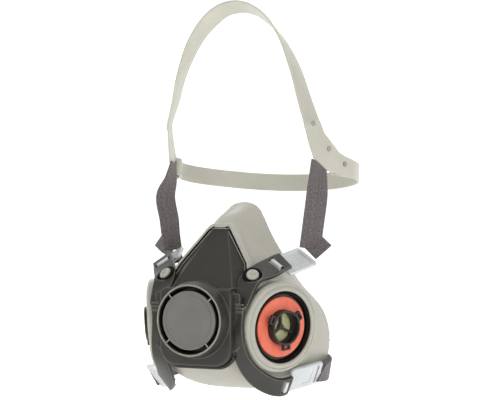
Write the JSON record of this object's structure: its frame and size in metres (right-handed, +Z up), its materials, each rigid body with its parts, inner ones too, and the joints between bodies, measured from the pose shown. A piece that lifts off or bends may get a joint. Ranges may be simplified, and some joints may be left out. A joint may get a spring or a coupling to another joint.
{
  "type": "respirator half mask",
  "caption": "Reusable half-face respirator with bayonet filter ports, an exhalation valve, a harness yoke with buckles and a head cradle on elastic straps.",
  "frame": {"origin": "centre of the face seal, on the plane of symmetry, level with the middle of the cup along Y", "axes": "+Z up, the front of the mask looks along -Y, +X is the wearer's left"},
  "size_m": [0.1448, 0.175, 0.2744],
  "materials": {
    "facepiece_elastomer": "matte",
    "dark_plastic": "satin",
    "cover_plastic": "satin",
    "port_plastic": "satin",
    "gasket_rubber": "matte",
    "flap_rubber": "matte",
    "buckle_plastic": "translucent white",
    "band_plastic": "matte",
    "elastic_webbing": "ribbed weave"
  },
  "bodies": {
    "mask": {"facepiece_nose": "facepiece_elastomer", "facepiece_chin": "facepiece_elastomer", "facepiece_snout": "facepiece_elastomer", "facepiece_left_cheek": "facepiece_elastomer", "facepiece_right_cheek": "facepiece_elastomer", "front_frame": "dark_plastic", "harness_yoke": "dark_plastic", "exhalation_valve_seat": "port_plastic", "left_inhalation_port": "port_plastic", "left_port_gasket": "gasket_rubber", "left_yoke_stud": "facepiece_elastomer", "left_upper_buckle": "buckle_plastic", "right_inhalation_port": "port_plastic", "right_port_gasket": "gasket_rubber", "right_yoke_stud": "facepiece_elastomer", "right_upper_buckle": "buckle_plastic"},
    "head_harness": {"crown_band": "band_plastic", "rear_band": "band_plastic", "left_cradle_snaps": "band_plastic", "left_upper_strap": "elastic_webbing", "right_cradle_snaps": "band_plastic", "right_upper_strap": "elastic_webbing"},
    "exhalation_cover": {"exhalation_valve_cover": "cover_plastic"},
    "exhalation_flap": {"exhalation_valve_flap": "flap_rubber"},
    "left_inhalation_flap": {"left_inhalation_valve_flap": "flap_rubber"},
    "right_inhalation_flap": {"right_inhalation_valve_flap": "flap_rubber"},
    "left_neck_half": {"left_lower_buckle": "buckle_plastic", "left_neck_strap": "elastic_webbing", "neck_strap_hook": "band_plastic"},
    "right_neck_half": {"right_lower_buckle": "buckle_plastic", "right_neck_strap": "elastic_webbing", "neck_strap_loop": "band_plastic"}
  },
  "joints": [
    {"name": "harness_tilt", "type": "hinge", "parent": "mask", "child": "head_harness", "pos_m": [0, -0.012, 0.027], "axis": [1, 0, 0], "range_deg": [-30, 60]},
    {"name": "exhalation_cover_pull", "type": "slide", "parent": "mask", "child": "exhalation_cover", "axis": [0, -1, 0], "range_m": [0, 0.025]},
    {"name": "exhalation_valve_lift", "type": "slide", "parent": "mask", "child": "exhalation_flap", "axis": [0, -1, 0], "range_m": [0, 0.0018], "stiffness_N_per_m": 40},
    {"name": "left_inhalation_valve_lift", "type": "slide", "parent": "mask", "child": "left_inhalation_flap", "axis": [-0.9041, 0.4216, 0.0698], "range_m": [0, 0.0015], "stiffness_N_per_m": 40},
    {"name": "right_inhalation_valve_lift", "type": "slide", "parent": "mask", "child": "right_inhalation_flap", "axis": [0.9041, 0.4216, 0.0698], "range_m": [0, 0.0015], "stiffness_N_per_m": 40},
    {"name": "left_neck_buckle_swing", "type": "hinge", "parent": "mask", "child": "left_neck_half", "pos_m": [0.04756, -0.03389, -0.06285], "axis": [-0.4437, 0.4207, -0.7913], "range_deg": [0, 60]},
    {"name": "right_neck_buckle_swing", "type": "hinge", "parent": "mask", "child": "right_neck_half", "pos_m": [-0.04756, -0.03389, -0.06285], "axis": [-0.4437, -0.4207, 0.7913], "range_deg": [-6, 35]}
  ]
}
